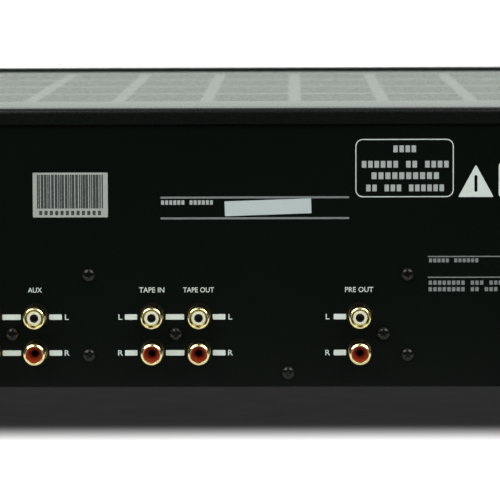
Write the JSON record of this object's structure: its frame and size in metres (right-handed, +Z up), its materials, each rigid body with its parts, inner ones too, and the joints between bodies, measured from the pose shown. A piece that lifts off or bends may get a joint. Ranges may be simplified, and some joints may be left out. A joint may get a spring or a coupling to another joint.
{
  "type": "integrated amplifier",
  "caption": "Full-width black stereo amplifier: slotted steel cover over a pan, phono sockets and speaker terminals behind, knobs and buttons in front.",
  "frame": {"origin": "on the ground under the middle of the amplifier, halfway between the front of the volume knob and the ends of the speaker terminals", "axes": "+Z up, -Y towards the front with the knobs, +Y towards the rear with the sockets, +X to the right as seen from the front"},
  "size_m": [0.432, 0.4, 0.126],
  "materials": {
    "black_paint": "satin black powder coat on steel sheet",
    "fascia_black": "fine brushed, black anodised",
    "knob_black": "turned, black anodised",
    "black_plastic": "moulded, matt",
    "foot_rubber": "matt",
    "gold_plate": "gold plated",
    "red_plastic": "moulded, semi-gloss",
    "zinc_steel": "bright zinc plate",
    "sink_black": "black anodised extrusion",
    "board_green": "glass-epoxy board with solder mask",
    "winding": "wound copper under amber film",
    "capacitor_sleeve": "shrink sleeve",
    "lamp_lens": "clear tinted"
  },
  "bodies": {
    "root": {"amplifier_board": "board_green", "bass_pot": "zinc_steel", "bottom_pan": "black_paint", "button_switch_board": "board_green", "filter_capacitor_left": "capacitor_sleeve", "filter_capacitor_right": "capacitor_sleeve", "foot_front_left": "foot_rubber", "foot_front_right": "foot_rubber", "foot_rear_left": "foot_rubber", "foot_rear_right": "foot_rubber", "front_fascia": "fascia_black", "front_subpanel": "zinc_steel", "headphone_jack": "black_plastic", "heatsink": "sink_black", "heatsink_stay_left": "zinc_steel", "heatsink_stay_right": "zinc_steel", "line_jack_housing": "black_plastic", "line_jack_shells": "gold_plate", "mains_inlet": "black_plastic", "power_lamp": "lamp_lens", "power_switch": "black_plastic", "power_transistor_left": "black_plastic", "power_transistor_right": "black_plastic", "pre_out_jack_housing": "black_plastic", "pre_out_jack_shells": "gold_plate", "preamp_board": "board_green", "rear_panel": "black_paint", "selector_switch": "zinc_steel", "speaker_post_left_minus": "gold_plate", "speaker_post_left_plus": "gold_plate", "speaker_post_right_minus": "gold_plate", "speaker_post_right_plus": "gold_plate", "speaker_terminal_plate": "black_plastic", "tape_jack_housing": "black_plastic", "tape_jack_shells": "gold_plate", "top_cover": "black_paint", "transformer_clamp": "zinc_steel", "transformer_winding": "winding", "treble_pot": "zinc_steel", "volume_pot": "zinc_steel"},
    "volume_control": {"volume_knob": "knob_black", "volume_shaft": "zinc_steel"},
    "selector_control": {"selector_knob": "knob_black", "selector_shaft": "zinc_steel"},
    "treble_control": {"treble_knob": "knob_black", "treble_shaft": "zinc_steel"},
    "bass_control": {"bass_knob": "knob_black", "bass_shaft": "zinc_steel"},
    "power_push": {"power_button": "knob_black"},
    "speaker_push": {"speaker_button": "knob_black"},
    "tape_push": {"tape_button": "knob_black"},
    "tone_push": {"tone_button": "knob_black"},
    "collar_left_plus": {"speaker_collar_left_plus": "gold_plate"},
    "cap_left_plus": {"speaker_cap_left_plus": "red_plastic"},
    "collar_left_minus": {"speaker_collar_left_minus": "gold_plate"},
    "cap_left_minus": {"speaker_cap_left_minus": "black_plastic"},
    "collar_right_minus": {"speaker_collar_right_minus": "gold_plate"},
    "cap_right_minus": {"speaker_cap_right_minus": "black_plastic"},
    "collar_right_plus": {"speaker_collar_right_plus": "gold_plate"},
    "cap_right_plus": {"speaker_cap_right_plus": "red_plastic"}
  },
  "joints": [
    {"name": "volume_turn", "type": "hinge", "parent": "root", "child": "volume_control", "pos_m": [0.148, -0.18, 0.07], "axis": [0, 1, 0], "range_deg": [0, 300]},
    {"name": "selector_turn", "type": "hinge", "parent": "root", "child": "selector_control", "pos_m": [0.04, -0.18, 0.07], "axis": [0, 1, 0], "range_deg": [-30, 60]},
    {"name": "treble_turn", "type": "hinge", "parent": "root", "child": "treble_control", "pos_m": [-0.06, -0.18, 0.078], "axis": [0, 1, 0], "range_deg": [-150, 150]},
    {"name": "bass_turn", "type": "hinge", "parent": "root", "child": "bass_control", "pos_m": [-0.112, -0.18, 0.078], "axis": [0, 1, 0], "range_deg": [-150, 150]},
    {"name": "power_press", "type": "slide", "parent": "root", "child": "power_push", "axis": [0, 1, 0], "range_m": [0, 0.0035]},
    {"name": "speaker_press", "type": "slide", "parent": "root", "child": "speaker_push", "axis": [0, 1, 0], "range_m": [0, 0.0025]},
    {"name": "tape_press", "type": "slide", "parent": "root", "child": "tape_push", "axis": [0, 1, 0], "range_m": [0, 0.0025]},
    {"name": "tone_press", "type": "slide", "parent": "root", "child": "tone_push", "axis": [0, 1, 0], "range_m": [0, 0.0025]},
    {"name": "collar_left_plus_slide", "type": "slide", "parent": "root", "child": "collar_left_plus", "axis": [0, 1, 0], "range_m": [0, 0.0028]},
    {"name": "cap_left_plus_turn", "type": "hinge", "parent": "collar_left_plus", "child": "cap_left_plus", "pos_m": [-0.098, 0.187, 0.036], "axis": [0, 1, 0], "range_deg": [0, 1440.1]},
    {"name": "collar_left_minus_slide", "type": "slide", "parent": "root", "child": "collar_left_minus", "axis": [0, 1, 0], "range_m": [0, 0.0028]},
    {"name": "cap_left_minus_turn", "type": "hinge", "parent": "collar_left_minus", "child": "cap_left_minus", "pos_m": [-0.117, 0.187, 0.036], "axis": [0, 1, 0], "range_deg": [0, 1440.1]},
    {"name": "collar_right_minus_slide", "type": "slide", "parent": "root", "child": "collar_right_minus", "axis": [0, 1, 0], "range_m": [0, 0.0028]},
    {"name": "cap_right_minus_turn", "type": "hinge", "parent": "collar_right_minus", "child": "cap_right_minus", "pos_m": [-0.136, 0.187, 0.036], "axis": [0, 1, 0], "range_deg": [0, 1440.1]},
    {"name": "collar_right_plus_slide", "type": "slide", "parent": "root", "child": "collar_right_plus", "axis": [0, 1, 0], "range_m": [0, 0.0028]},
    {"name": "cap_right_plus_turn", "type": "hinge", "parent": "collar_right_plus", "child": "cap_right_plus", "pos_m": [-0.155, 0.187, 0.036], "axis": [0, 1, 0], "range_deg": [0, 1440.1]}
  ],
  "couplings": [
    {"joint": "cap_left_plus_turn", "follows": "collar_left_plus_slide", "rad_per_m": 8976},
    {"joint": "cap_left_minus_turn", "follows": "collar_left_minus_slide", "rad_per_m": 8976},
    {"joint": "cap_right_minus_turn", "follows": "collar_right_minus_slide", "rad_per_m": 8976},
    {"joint": "cap_right_plus_turn", "follows": "collar_right_plus_slide", "rad_per_m": 8976}
  ]
}
